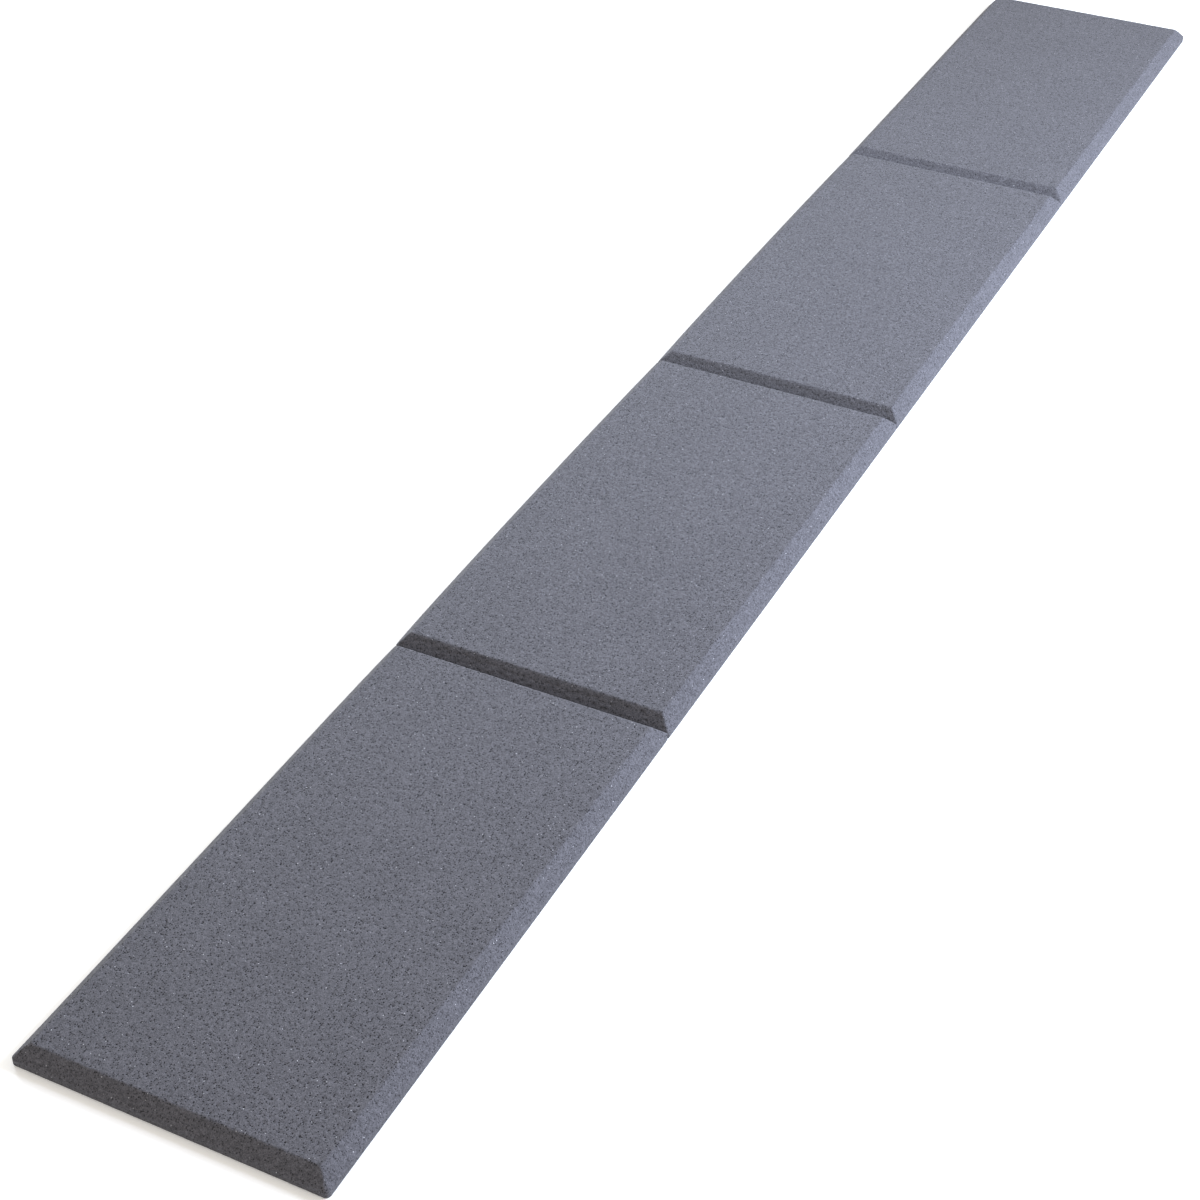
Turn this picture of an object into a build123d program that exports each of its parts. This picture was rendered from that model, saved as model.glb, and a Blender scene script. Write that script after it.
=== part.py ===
"""Four bevelled foam panels laid end to end in one straight row.

Each panel is a flat oblong cut from one block of open-cell foam. Its face is flat, and a bevel
runs round all four sides, down to a short upright rim. Where two panels meet, their bevels
make a V-groove across the row. The panels are loose: they only lie side by side.

Frame: X runs across the row, Y along it and Z up, out of the face of the panels. The origin is
at the middle of the row, on the plane that the backs of the panels rest on.
"""

import os

from build123d import *

# Driving dimensions, in millimetres
panel_count = 4
panel_length = 600.0  # along the row, rim to rim
panel_width = 300.0  # across the row, rim to rim
panel_thickness = 20.0  # from the back to the face
rim_height = 7.5  # upright part of the edge, below the bevel
bevel_inset = 12.5  # how far the bevel leans in from the rim, on all four sides
corner_radius = 2.0  # softness of the four corners, from the rim up to the face
butt_clearance = 0.4  # between the rims of two neighbours, so that each panel lifts out freely

# The flat face is what the bevel leaves, and a panel's place in the row follows from its length.
face_length = panel_length - 2 * bevel_inset
face_width = panel_width - 2 * bevel_inset
panel_pitch = panel_length + butt_clearance
first_centre = -panel_pitch * (panel_count - 1) / 2

os.makedirs("parts", exist_ok=True)

for index in range(panel_count):
    back = Plane(origin=(0, first_centre + index * panel_pitch, 0))

    with BuildPart() as panel:
        # The lower part has straight, upright sides.
        with BuildSketch(back):
            RectangleRounded(panel_width, panel_length, corner_radius)
        extrude(amount=rim_height)

        # The bevel leans in from the top of the rim to the edge of the face, mitred at the corners.
        with BuildSketch(back.offset(rim_height)):
            RectangleRounded(panel_width, panel_length, corner_radius)
        with BuildSketch(back.offset(panel_thickness)):
            RectangleRounded(face_width, face_length, corner_radius)
        loft(ruled=True)

    name = f"foam_panel_{index + 1}"
    panel.part.label = name
    export_step(panel.part, f"parts/{name}.step")
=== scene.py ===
"""A row of four bevelled open-cell foam panels on a pale studio floor."""

import math

import bpy
import numpy as np
from mathutils import Euler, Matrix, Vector


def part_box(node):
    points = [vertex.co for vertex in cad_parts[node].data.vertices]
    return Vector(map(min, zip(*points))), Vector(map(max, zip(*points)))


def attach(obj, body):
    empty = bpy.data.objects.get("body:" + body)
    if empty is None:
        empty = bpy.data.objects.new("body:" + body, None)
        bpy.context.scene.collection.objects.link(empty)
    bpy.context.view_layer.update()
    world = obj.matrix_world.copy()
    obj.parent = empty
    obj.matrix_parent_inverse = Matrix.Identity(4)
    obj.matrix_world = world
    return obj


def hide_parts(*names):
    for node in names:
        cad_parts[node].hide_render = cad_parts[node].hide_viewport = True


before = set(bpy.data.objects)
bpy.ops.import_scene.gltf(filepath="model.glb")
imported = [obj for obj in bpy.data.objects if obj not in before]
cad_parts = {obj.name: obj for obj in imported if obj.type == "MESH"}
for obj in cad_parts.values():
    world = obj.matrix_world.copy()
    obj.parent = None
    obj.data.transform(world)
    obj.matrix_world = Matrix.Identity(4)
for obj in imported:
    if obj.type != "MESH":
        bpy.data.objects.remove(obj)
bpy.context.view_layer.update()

# Foam panels. Each is one slab of polyurethane foam, sliced from a block with a blade, and
# bevelled at 45 degrees along all four sides, which leaves a short upright rim. The slabs just
# lie side by side. Their cut edges are a little ragged, and their left sides aren't quite straight.
MM = 0.001
RIM_HEIGHT = 7.5 * MM
BEVEL_INSET = 12.5 * MM
BUTTED_CORNER = 1.8 * MM  # radius in plan at the rim, where two panels meet
FREE_CORNER = 4.5 * MM  # the same at the two ends of the row, where the corners are worn
CORNER_FADE = 8.0 * MM  # how far up the bevel that rounding dies out, which leaves a crisp mitre
ARRIS_SOFTNESS = 0.4 * MM  # how far each cut edge is worn back
END_ROUNDING = 1.8 * MM  # of the bottom edge at the two short ends
SIDE_ROUNDING = 0.4 * MM  # of the bottom edge along the two long sides

# The cut isn't clean. Each depth is about how far a surface strays, either way, and each length
# is how far apart its ups and downs are.
CELL_LENGTH = 2.4 * MM  # torn cells along an arris and round the rim
TEAR_LENGTH = 7.0 * MM  # longer tears along an arris
END_RAGGEDNESS = 0.28 * MM  # of the arrises along the two short ends
SIDE_RAGGEDNESS = 0.16 * MM  # of the arrises along the two long sides
RAGGED_REACH = 2.5 * MM  # to each side of an arris
RIM_ROUGHNESS = 0.09 * MM
SWELL_DEPTH = 0.12 * MM  # slow hollows in the face
SWELL_LENGTH = 70.0 * MM
GRAIN_DEPTH = 0.04 * MM  # the small unevenness of the face
GRAIN_LENGTH = 2.2 * MM
# The border below also marks where the painted shade of the bevels begins.
SAWN_AND_SHADED_BORDER = 1.5 * MM  # over which the sliced face turns into the sawn bevel

# The mesh: its steps, and its open pores, which are cells that the blade opened wide.
EDGE_ZONE = 16.0 * MM  # the bevel and a strip of face beside it, meshed more finely
EDGE_STEP = 1.0 * MM
FACE_STEP = 1.65 * MM
STRAY = 0.22 * FACE_STEP  # how far a point of the face may lie off the grid
STRAY_FADE = 4.0 * MM  # from the arris to where points stray that far
RIM_LEVELS = (6.4, 5.3, 4.2, 3.2, 2.3, 1.5, 0.9, 0.45, 0.12, 0.0)  # heights of its rows, in mm
PORE_BLOCK = 5  # one block of this many mesh points each way holds at most one open pore
PORE_SHARE = 0.8  # of the blocks that have one
PORE_DEPTH = 0.5 * MM  # of the smallest, and the largest is deeper by PORE_EXTRA
PORE_EXTRA = 0.9 * MM

# How far the left side of each panel lies inside a straight line, in mm: at the middle, more at
# both ends where the side bows out, and more again close to its near and far corners.
LEFT_SIDES = {
    1: {"middle": 1.1, "ends": 0.0, "near": -0.5, "far": 1.3},
    2: {"middle": -1.1, "ends": 1.9, "near": 1.2, "far": 0.4},
    3: {"middle": -0.9, "ends": 1.5, "near": 0.6, "far": 0.7},
    4: {"middle": 0.6, "ends": 0.0, "near": 0.2, "far": 1.4},
}
CORNER_REACH = 40.0 * MM  # how far along the side a corner's own draw-in is felt


def steps_across(half):
    """Places from -half to half, close together near both ends and wider apart between."""
    edge = np.linspace(0.0, EDGE_ZONE, round(EDGE_ZONE / EDGE_STEP) + 1)
    middle_count = round((half - EDGE_ZONE) * 2 / FACE_STEP)
    middle = np.linspace(EDGE_ZONE - half, half - EDGE_ZONE, middle_count + 1)
    return np.concatenate([edge[:-1] - half, middle, half - edge[-2::-1]])


def soft_min(a, b, width):
    """The smaller of two heights, rounded where they are about equal."""
    share = np.clip(0.5 + 0.5 * (b - a) / width, 0.0, 1.0)
    return b + (a - b) * share - width * share * (1.0 - share)


def value_noise(x, y, scale, seed):
    """Smooth random values from -1 to 1 that change over about one scale, at 2-D points."""
    table = np.random.default_rng(seed).uniform(-1.0, 1.0, (256, 256))
    column = np.floor(x / scale).astype(int)
    row = np.floor(y / scale).astype(int)
    u = x / scale - column
    v = y / scale - row
    u = u * u * (3.0 - 2.0 * u)
    v = v * v * (3.0 - 2.0 * v)
    low = table[column % 256, row % 256] * (1 - u) + table[(column + 1) % 256, row % 256] * u
    row = row + 1
    high = table[column % 256, row % 256] * (1 - u) + table[(column + 1) % 256, row % 256] * u
    return low * (1 - v) + high * v


def cut_surface(gx, gy, half, thickness, seed):
    """How far in from the rim each point is, and so how high: up the bevel, then level."""
    in_x = half.x - np.abs(gx)
    in_y = half.y - np.abs(gy)
    inset = np.minimum(in_x, in_y)
    slope = (thickness - RIM_HEIGHT) / BEVEL_INSET
    bevel = RIM_HEIGHT + soft_min(in_x, in_y, ARRIS_SOFTNESS) * slope
    torn = value_noise(gx, gy, CELL_LENGTH, seed) + 0.5 * value_noise(gx, gy, TEAR_LENGTH, seed + 1)
    by_arris = np.exp(-(((inset - BEVEL_INSET) / RAGGED_REACH) ** 2))
    bevel += np.where(in_y < in_x, END_RAGGEDNESS, SIDE_RAGGEDNESS) * torn * by_arris
    face = thickness - SWELL_DEPTH * (1.0 + value_noise(gx, gy, SWELL_LENGTH, seed + 2))
    face -= GRAIN_DEPTH * (1.0 + value_noise(gx, gy, GRAIN_LENGTH, seed + 3))
    return inset, soft_min(bevel, face, 1.2 * ARRIS_SOFTNESS)


def rounded_plan(gx, gy, inset, half, number):
    """The grid with its corners rounded in plan, most at the rim and less up the bevel."""
    near_free = (number == 1) & (gy < 0)
    far_free = (number == len(LEFT_SIDES)) & (gy > 0)
    radius = np.where(near_free | far_free, FREE_CORNER, BUTTED_CORNER)
    radius = radius * np.clip(1.0 - inset / CORNER_FADE, 0.02, 1.0)
    core_x = np.clip(np.abs(gx), 0, half.x - inset - radius)
    core_y = np.clip(np.abs(gy), 0, half.y - inset - radius)
    out_x = np.abs(gx) - core_x
    out_y = np.abs(gy) - core_y
    reach = np.maximum(np.hypot(out_x, out_y), 1e-9)
    in_corner = (out_x > 0) & (out_y > 0) & (inset < EDGE_ZONE)
    shrink = np.where(in_corner, np.minimum(radius / reach, 1.0), 1.0)
    return np.sign(gx) * (core_x + out_x * shrink), np.sign(gy) * (core_y + out_y * shrink)


def open_pores(px, py, top, in_edge_zone, seed):
    """Sinks single points of the grid to make real pits, draws their neighbours in, and returns
    how much of a pore each point is."""
    rng = np.random.default_rng(seed)
    pore = np.zeros_like(top)
    rows, columns = top.shape
    for row in range(1, rows - PORE_BLOCK - 1, PORE_BLOCK):
        for column in range(1, columns - PORE_BLOCK - 1, PORE_BLOCK):
            chosen, down, across, size, pull = rng.random(5)
            if chosen > PORE_SHARE:
                continue
            r = row + 1 + int(down * 3)
            c = column + 1 + int(across * 3)
            if in_edge_zone[r, c]:
                size *= 0.5
            top[r, c] -= PORE_DEPTH + PORE_EXTRA * size
            pore[r, c] = 0.75 + 0.25 * size
            # The eight neighbours come in by a quarter to nearly half of the way, each pore its own.
            pull = 0.25 + 0.20 * pull
            around = (slice(r - 1, r + 2), slice(c - 1, c + 2))
            px[around] += (px[r, c] - px[around]) * pull
            py[around] += (py[r, c] - py[around]) * pull
    return pore


def left_line(gy, half, number):
    """How far a panel's left side lies inside a straight line, at places along it."""
    side = LEFT_SIDES[number]
    along = gy / half.y
    from_near = (1 + along) * half.y
    from_far = (1 - along) * half.y
    line = side["middle"] + side["ends"] * along**2
    line += side["near"] * np.exp(-from_near / CORNER_REACH)
    line += side["far"] * np.exp(-from_far / CORNER_REACH)
    return line * MM


def rim_rows(rim, seed):
    """Level rows of points down the rim, which turns under at the back, and the same rows folded
    out flat."""
    run = np.roll(rim, -1, 0)[:, :2] - np.roll(rim, 1, 0)[:, :2]
    outward = np.stack([run[:, 1], -run[:, 0]], 1) / np.linalg.norm(run, axis=1)[:, None]
    turn = SIDE_ROUNDING + (END_ROUNDING - SIDE_ROUNDING) * np.abs(outward[:, 1])
    round_about = rim[:, 0] + rim[:, 1] * np.sign(rim[:, 0])
    rows = []
    flat_rows = []
    for height in np.array(RIM_LEVELS) * MM:
        below = np.clip(turn - height, 0.0, turn)
        tuck = turn - np.sqrt(turn**2 - below**2)
        noise_row = np.full(len(rim), height * 40)  # far enough apart that no two rows are alike
        rough = RIM_ROUGHNESS * value_noise(round_about, noise_row, CELL_LENGTH, seed)
        level = rim[:, :2] - outward * (tuck + rough)[:, None]
        rows.append(np.column_stack([level, np.full(len(rim), height)]))
        flat_rows.append(rim[:, :2] + outward * (RIM_HEIGHT - height))
    return rows, flat_rows


def back_faces(bottom, rows, columns):
    """The flat back inside the bottom ring: one strip across it for each row of the grid."""
    near_end = bottom[: columns - 1]
    right_side = bottom[columns - 1 : columns - 1 + rows]
    far_end = bottom[columns + rows - 2 : 2 * columns + rows - 2]
    left_side = np.concatenate([bottom[:1], bottom[: 2 * columns + rows - 4 : -1]])
    strips = np.stack([left_side[:-1], left_side[1:], right_side[1:], right_side[:-1]], 1)
    first = np.concatenate([[left_side[1], right_side[1], right_side[0]], near_end[::-1]])
    last = np.concatenate([[right_side[-2], left_side[-2]], far_end[::-1]])
    return [tuple(face) for face in (*strips[1:-1].tolist(), first.tolist(), last.tolist())]


def add_flat_map(mesh, shell_map, back_map, half):
    """One flat map for the textures: the face with its rim folded out, and the back beside it."""
    corner_points = np.empty(len(mesh.loops), int)
    mesh.loops.foreach_get("vertex_index", corner_points)
    on_back = [not polygon.use_smooth for polygon in mesh.polygons]
    on_back = np.repeat(on_back, [polygon.loop_total for polygon in mesh.polygons])
    flat = np.where(on_back[:, None], back_map[corner_points], shell_map[corner_points])
    margin = 10 * MM
    flat = (flat + (half.x + margin, half.y + margin)) / (2 * half.y + 4 * margin)
    layer = mesh.uv_layers.new(name="OFBake")
    layer.data.foreach_set("uv", flat.ravel())


def panel_mesh(name, low, high, number):
    """One panel: a fine grid over the face and bevels, the upright rim and the flat back."""
    seed = 100 * number
    half = (high - low) / 2
    centre = (high + low) / 2
    gx, gy = np.meshgrid(steps_across(half.x), steps_across(half.y))
    inset, top = cut_surface(gx, gy, half, high.z - low.z, seed)
    px, py = rounded_plan(gx, gy, inset, half, number)

    # Off the edges, the points aren't in line, so that the surface has no grain of its own.
    rng = np.random.default_rng(seed + 4)
    stray = np.clip((inset - BEVEL_INSET) / STRAY_FADE, 0.0, 1.0) * STRAY
    px += stray * rng.uniform(-1, 1, px.shape)
    py += stray * rng.uniform(-1, 1, py.shape)
    pore = open_pores(px, py, top, inset < EDGE_ZONE, seed + 5)

    # The left side's own line, which the panel takes up between there and its middle.
    px += left_line(gy, half, number) * np.clip(-gx / half.x, 0.0, 1.0)

    # The shell is the grid and the rows of the rim, which hang from the grid's outer ring.
    rows, columns = gx.shape
    grid = np.arange(rows * columns).reshape(rows, columns)
    quads = [np.stack([grid[:-1, :-1], grid[:-1, 1:], grid[1:, 1:], grid[1:, :-1]], -1).reshape(-1, 4)]
    surface = np.stack([px.ravel(), py.ravel(), top.ravel()], 1)
    ring = np.concatenate([grid[0, :-1], grid[:-1, -1], grid[-1, :0:-1], grid[:0:-1, 0]])
    rim, rim_map = rim_rows(surface[ring], seed + 6)
    after = np.roll(np.arange(len(ring)), -1)
    upper = ring
    for row in range(len(rim)):
        lower = grid.size + row * len(ring) + np.arange(len(ring))
        quads.append(np.stack([upper, lower, lower[after], upper[after]], 1))
        upper = lower
    shell = [tuple(quad) for quad in np.concatenate(quads).tolist()]
    back = back_faces(upper, rows, columns)

    points = np.concatenate([surface, *rim])
    mesh = bpy.data.meshes.new(name)
    mesh.from_pydata((points + (centre.x, centre.y, low.z)).tolist(), [], shell + back)
    mesh.polygons.foreach_set("use_smooth", [True] * len(shell) + [False] * len(back))

    # What the material asks of each point: how much of a pore it is, drawn with painted shade, and
    # how it was cut, which is 0 on the sliced face, 0.5 on the sawn bevels and 1 on the rim; the cut
    # also sets painted shade that darkens the bevels a little and the rim more.
    rim_points = len(points) - grid.size
    depth = mesh.attributes.new("open_pore", "FLOAT", "POINT")
    depth.data.foreach_set("value", np.append(pore.ravel(), np.zeros(rim_points)))
    bevelled = 0.5 * np.clip((BEVEL_INSET - inset) / SAWN_AND_SHADED_BORDER, 0.0, 1.0)
    sawn_and_shaded = mesh.attributes.new("sawn_and_shaded", "FLOAT", "POINT")
    sawn_and_shaded.data.foreach_set("value", np.append(bevelled.ravel(), np.ones(rim_points)))

    shell_map = np.concatenate([surface[:, :2], *rim_map])
    back_map = points[:, :2] * (-1, 1) + (2 * half.x + 2 * RIM_HEIGHT, 0)
    add_flat_map(mesh, shell_map, back_map, half)
    mesh.update()
    return mesh


# Open-cell polyurethane foam, charcoal. The blade cuts through thousands of cells: most show as
# a fine grain, many as pinholes drawn dark with painted shade, and here and there a cell window
# glints in the light, drawn as a painted glint.
# The real grain is 0.3 to 0.6 mm, and it is drawn at 0.8 mm, as coarse as it needs to show.
FOAM_COLOUR = "59585e"
# Painted shade: the dark inside the pinholes and the pits, where little light comes back.
OPENING_SHADE_COLOUR = "1b1a1e"
# Painted glint: the light colour of the windows, which stands in for their shine.
WINDOW_GLINT_COLOUR = "b9b9c0"
CELL_SIZES = {"grain": 0.8, "clump": 2.1, "pinhole": 2.0, "window": 3.6}  # mean widths, in mm
CLOUD_SIZE = 71.43 * MM  # of the slow changes of tone, from one cloud to the next
RELIEF_DEPTH = 0.4 * MM  # from the top of a grain to the bottom of an opening, or about that


def linear(hex_colour):
    """A linear RGBA colour from an sRGB hex value."""
    parts = [int(hex_colour[i : i + 2], 16) / 255 for i in (0, 2, 4)]
    return [c / 12.92 if c <= 0.04045 else ((c + 0.055) / 1.055) ** 2.4 for c in parts] + [1.0]


def add_node(tree, kind, settings=None, inputs=None):
    """Adds a node with its settings, and its inputs as values or as links from other sockets."""
    node = tree.nodes.new(kind)
    for key, value in (settings or {}).items():
        setattr(node, key, value)
    for key, value in (inputs or {}).items():
        if isinstance(value, bpy.types.NodeSocket):
            tree.links.new(value, node.inputs[key])
        else:
            node.inputs[key].default_value = value
    return node


def foam_material():
    """Charcoal polyurethane foam with a knife-cut, open-cell surface."""
    material = bpy.data.materials.new("charcoal_polyurethane_foam")
    material.use_nodes = True
    tree = material.node_tree
    shader = tree.nodes["Principled BSDF"]
    shader.inputs["IOR"].default_value = 1.45
    shader.inputs["Specular IOR Level"].default_value = 0.25
    shader.inputs["Sheen Weight"].default_value = 0.08
    shader.inputs["Sheen Roughness"].default_value = 0.5
    place = add_node(tree, "ShaderNodeTexCoord").outputs["Object"]

    # Each cell gives the distance from its middle, and a random value of its own.
    distance = {}
    random = {}
    for use, size in CELL_SIZES.items():
        inputs = {"Vector": place, "Scale": 1.0 / (size * MM)}
        cells = add_node(tree, "ShaderNodeTexVoronoi", {"feature": "F1"}, inputs)
        distance[use] = cells.outputs["Distance"]
        inputs = {"Color": cells.outputs["Color"]}
        random[use] = add_node(tree, "ShaderNodeSeparateColor", None, inputs).outputs["Red"]

    # Tone: each grain has a shade of its own, and so has each clump of them, over slow cloudy
    # changes. Painted shade makes the sawn bevels a little darker than the sliced face, and the rim
    # more so.
    inputs = {"Vector": place, "Scale": 1.0 / CLOUD_SIZE, "Detail": 2.0}
    cloud = add_node(tree, "ShaderNodeTexNoise", None, inputs).outputs[0]
    # The cut of each point, which also sets painted shade on the bevels and the rim.
    sawn_and_shaded = add_node(tree, "ShaderNodeAttribute", {"attribute_name": "sawn_and_shaded"}).outputs["Fac"]
    tone = 1.0
    for value, low, high, darkest, lightest in (
        (random["grain"], 0.0, 1.0, 0.66, 1.34),
        (random["clump"], 0.0, 1.0, 0.84, 1.16),
        (cloud, 0.3, 0.7, 0.97, 1.03),
        (sawn_and_shaded, 0.0, 0.5, 1.0, 0.97),
        (sawn_and_shaded, 0.5, 1.0, 1.0, 0.84),
    ):
        inputs = {0: value, 1: low, 2: high, 3: darkest, 4: lightest}
        shade = add_node(tree, "ShaderNodeMapRange", None, inputs).outputs[0]
        tone = add_node(tree, "ShaderNodeMath", {"operation": "MULTIPLY"}, {0: tone, 1: shade}).outputs[0]

    # Pinholes: cells that the blade cut open, each as wide as where it was cut, to be filled with
    # painted shade. Windows: the few cells whose flat skin is left, which get a painted glint
    # and a lower roughness.
    spot = {}
    for use, low, narrowest, widest, blur in (
        ("pinhole", 0.2, 0.12, 0.39, 0.03),
        ("window", 0.6, 0.0, 0.14, 0.025),
    ):
        inputs = {0: random[use], 1: low, 2: 1.0, 3: narrowest, 4: widest}
        width = add_node(tree, "ShaderNodeMapRange", None, inputs).outputs[0]
        inputs = {0: width, 1: distance[use]}
        inside = add_node(tree, "ShaderNodeMath", {"operation": "SUBTRACT"}, inputs).outputs[0]
        inputs = {0: inside, 1: -blur, 2: blur, 3: 0.0, 4: 1.0}
        spot[use] = add_node(tree, "ShaderNodeMapRange", None, inputs).outputs[0]

    # Open pores: the pits in the mesh, with painted shade at the bottom and an uneven edge.
    pit = add_node(tree, "ShaderNodeAttribute", {"attribute_name": "open_pore"}).outputs["Fac"]
    inputs = {0: distance["grain"], 1: 0.0, 2: 0.7, 3: 0.12, 4: -0.12}
    uneven = add_node(tree, "ShaderNodeMapRange", None, inputs).outputs[0]
    pit = add_node(tree, "ShaderNodeMath", {"operation": "ADD"}, {0: pit, 1: uneven}).outputs[0]
    inputs = {0: pit, 1: 0.22, 2: 0.42, 3: 0.0, 4: 1.0}
    pit = add_node(tree, "ShaderNodeMapRange", {"interpolation_type": "SMOOTHSTEP"}, inputs).outputs[0]
    # Where the painted shade of the openings falls: the pinholes and the pits together.
    inputs = {0: spot["pinhole"], 1: pit}
    opening = add_node(tree, "ShaderNodeMath", {"operation": "MAXIMUM"}, inputs).outputs[0]

    # The saw that cut the bevels dragged over the openings there and partly closed them.
    inputs = {0: sawn_and_shaded, 1: 0.0, 2: 0.5, 3: 1.0, 4: 0.7}
    left_open = add_node(tree, "ShaderNodeMapRange", None, inputs).outputs[0]
    inputs = {0: opening, 1: left_open}
    opening = add_node(tree, "ShaderNodeMath", {"operation": "MULTIPLY"}, inputs).outputs[0]

    # Colour: the toned foam, painted shade in the openings and a painted glint on the windows.
    inputs = {0: linear(FOAM_COLOUR)[:3], "Scale": tone}
    colour = add_node(tree, "ShaderNodeVectorMath", {"operation": "SCALE"}, inputs).outputs[0]
    for share, hex_colour in ((opening, OPENING_SHADE_COLOUR), (spot["window"], WINDOW_GLINT_COLOUR)):
        inputs = {0: share, 6: colour, 7: linear(hex_colour)}
        colour = add_node(tree, "ShaderNodeMix", {"data_type": "RGBA"}, inputs).outputs[2]
    tree.links.new(colour, shader.inputs["Base Color"])
    inputs = {0: spot["window"], 1: 0.0, 2: 1.0, 3: 0.95, 4: 0.45}
    rough = add_node(tree, "ShaderNodeMapRange", None, inputs).outputs[0]
    tree.links.new(rough, shader.inputs["Roughness"])

    # Relief: rounded grains, with the openings sunk below them.
    inputs = {0: distance["grain"], 1: 0.1, 2: 0.7, 3: 0.0, 4: 0.5}
    grain = add_node(tree, "ShaderNodeMapRange", None, inputs).outputs[0]
    inputs = {0: grain, 1: opening}
    relief = add_node(tree, "ShaderNodeMath", {"operation": "SUBTRACT"}, inputs).outputs[0]
    inputs = {"Height": relief, "Distance": RELIEF_DEPTH, "Strength": 0.7}
    bump = add_node(tree, "ShaderNodeBump", None, inputs).outputs[0]
    tree.links.new(bump, shader.inputs["Normal"])
    return material


foam_finish = foam_material()
for number in LEFT_SIDES:
    node_name = f"foam_panel_{number}"
    low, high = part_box(node_name)
    mesh = panel_mesh(f"cut_foam_panel_{number}", low, high, number)
    mesh.materials.append(foam_finish)
    panel = bpy.data.objects.new(mesh.name, mesh)
    bpy.context.scene.collection.objects.link(panel)
    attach(panel, node_name)
    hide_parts(node_name)

# The studio: a white floor of matt opal acrylic that the panels lie on. It glows a little from
# below, as a light table does, so that it runs out to white with only a faint shadow.
FLOOR_REACH = 12.0  # to each side, in metres
FLOOR_GAP = 0.2 * MM  # below the backs, so that the two surfaces don't share a plane
floor_mesh = bpy.data.meshes.new("studio_floor")
signs = ((-1, -1), (1, -1), (1, 1), (-1, 1))
floor_corners = [(x * FLOOR_REACH, y * FLOOR_REACH, 0.0) for x, y in signs]
floor_mesh.from_pydata(floor_corners, [], [(0, 1, 2, 3)])
floor = bpy.data.objects.new("studio_floor", floor_mesh)
floor.location.z = -FLOOR_GAP
bpy.context.scene.collection.objects.link(floor)
acrylic = bpy.data.materials.new("matt_opal_acrylic")
acrylic.use_nodes = True
acrylic_shader = acrylic.node_tree.nodes["Principled BSDF"]
acrylic_shader.inputs["Base Color"].default_value = linear("fdfdfd")
acrylic_shader.inputs["Roughness"].default_value = 0.9
acrylic_shader.inputs["Specular IOR Level"].default_value = 0.1
acrylic_shader.inputs["Emission Color"].default_value = linear("ffffff")
acrylic_shader.inputs["Emission Strength"].default_value = 0.2
floor_mesh.materials.append(acrylic)


# Studio light: a cool soft box on the right, a weaker and lower one on the left, and a warmer fill
# from all round.
def softbox(name, place, aim, size, watts, colour):
    """A square area light at a place, turned to a point."""
    light = bpy.data.lights.new(name, "AREA")
    light.shape = "SQUARE"
    light.size = size
    light.energy = watts
    light.color = colour
    lamp = bpy.data.objects.new(name, light)
    lamp.location = place
    lamp.rotation_euler = (Vector(aim) - Vector(place)).to_track_quat("-Z", "Y").to_euler()
    bpy.context.scene.collection.objects.link(lamp)


softbox("key_softbox", (1.98, 0.56, 1.30), (0.0, 0.3, 0.0), 1.2, 150.0, (0.73, 0.83, 1.0))
softbox("left_softbox", (-1.68, 0.11, 0.55), (0.0, 0.0, 0.0), 0.8, 40.0, (0.80, 0.90, 1.0))
studio = bpy.data.worlds.new("studio_fill")
studio.use_nodes = True
sky = studio.node_tree.nodes["Background"]
sky.inputs["Color"].default_value = (1.0, 0.94, 0.85, 1.0)
sky.inputs["Strength"].default_value = 0.66
bpy.context.scene.world = studio
bpy.context.scene.view_settings.view_transform = "Standard"

# The camera stands off the near right corner of the row, held level, and looks down along it.
camera = bpy.data.cameras.new("camera")
camera.lens = 69.14
camera.sensor_width = 36.0
camera_object = bpy.data.objects.new("camera", camera)
camera_object.location = (0.837, -2.1055, 1.4138)
camera_object.rotation_euler = Euler([math.radians(a) for a in (52.927, 0.023, 26.740)])
bpy.context.scene.collection.objects.link(camera_object)
bpy.context.scene.camera = camera_object
